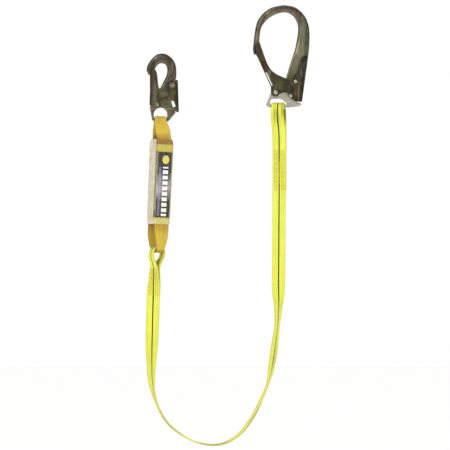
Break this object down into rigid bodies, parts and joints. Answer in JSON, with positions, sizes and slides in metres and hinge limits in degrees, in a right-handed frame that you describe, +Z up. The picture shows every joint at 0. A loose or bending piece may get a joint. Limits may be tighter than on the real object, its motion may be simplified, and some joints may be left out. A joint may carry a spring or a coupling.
{
  "type": "shock absorbing lanyard",
  "caption": "Fall-arrest lanyard hung by a large rebar hook and a small snap hook, with a yellow web strap and a sleeved shock absorber pack between them.",
  "frame": {"origin": "top of the rebar hook's inside, where the hook bears on its anchor", "axes": "+Z up, +X to the right with the rebar hook on the right and the snap hook on the left, -Y towards the viewer; both hooks lie in the XZ plane"},
  "size_m": [0.3442, 0.0484, 0.9264],
  "materials": {
    "forged_steel": "plated forging, satin",
    "pressed_steel": "yellow-zinc plated sheet, dark satin",
    "rivet_steel": "bright, headed",
    "zinc_steel": "bright zinc plate",
    "spring_steel": "drawn wire",
    "yellow_web": "woven polyester webbing with a dark tracer thread",
    "gold_web": "woven webbing",
    "tear_web": "woven tear webbing",
    "clear_sleeve": "clear shrink sleeve",
    "label": "printed film",
    "thread": "sewing thread"
  },
  "bodies": {
    "hooks": {"snap_hook_body": "forged_steel", "snap_gate_rivet": "rivet_steel", "snap_lever_rivet": "rivet_steel", "snap_gate_spring": "spring_steel", "snap_lever_spring": "spring_steel", "rebar_hook_body": "forged_steel", "rebar_eye_plate": "zinc_steel", "rebar_gate_rivet": "rivet_steel", "rebar_lever_rivet": "rivet_steel", "rebar_eye_rivet": "rivet_steel", "rebar_gate_spring": "spring_steel", "rebar_lever_spring": "spring_steel"},
    "snap_gate": {"snap_gate": "pressed_steel"},
    "snap_lock_lever": {"snap_lock_lever": "pressed_steel"},
    "rebar_gate": {"rebar_gate": "pressed_steel"},
    "rebar_lock_lever": {"rebar_lock_lever": "pressed_steel"},
    "web_and_absorber": {"lanyard_web": "yellow_web", "rebar_end_stitching": "thread", "absorber_end_stitching": "thread", "absorber_sleeve": "clear_sleeve", "absorber_label": "label", "absorber_top_loop": "gold_web", "absorber_bottom_loop": "gold_web", "folded_tear_web": "tear_web", "folded_backup_web": "gold_web"}
  },
  "joints": [
    {"name": "rebar_gate_hinge", "type": "hinge", "parent": "hooks", "child": "rebar_gate", "pos_m": [-0.013, 0, -0.167], "axis": [0, 1, 0], "range_deg": [0, 32], "stiffness_Nm_per_rad": 0.5, "springref_deg": -34.38},
    {"name": "rebar_lever_hinge", "type": "hinge", "parent": "hooks", "child": "rebar_lock_lever", "pos_m": [0.0286, 0, -0.1445], "axis": [0, -1, 0], "range_deg": [0, 10], "stiffness_Nm_per_rad": 0.5, "springref_deg": -28.65},
    {"name": "snap_gate_hinge", "type": "hinge", "parent": "hooks", "child": "snap_gate", "pos_m": [-0.2615, 0, -0.1924], "axis": [0, 1, 0], "range_deg": [0, 17], "stiffness_Nm_per_rad": 0.3, "springref_deg": -34.38},
    {"name": "snap_lever_hinge", "type": "hinge", "parent": "hooks", "child": "snap_lock_lever", "pos_m": [-0.2283, 0, -0.1516], "axis": [0, 1, 0], "range_deg": [0, 6.5], "stiffness_Nm_per_rad": 0.3, "springref_deg": -28.65},
    {"name": "web_swing", "type": "hinge", "parent": "hooks", "child": "web_and_absorber", "pos_m": [-0.2545, 0, -0.22565], "axis": [0.9936, 0, 0.1126], "range_deg": [-15, 15]}
  ]
}
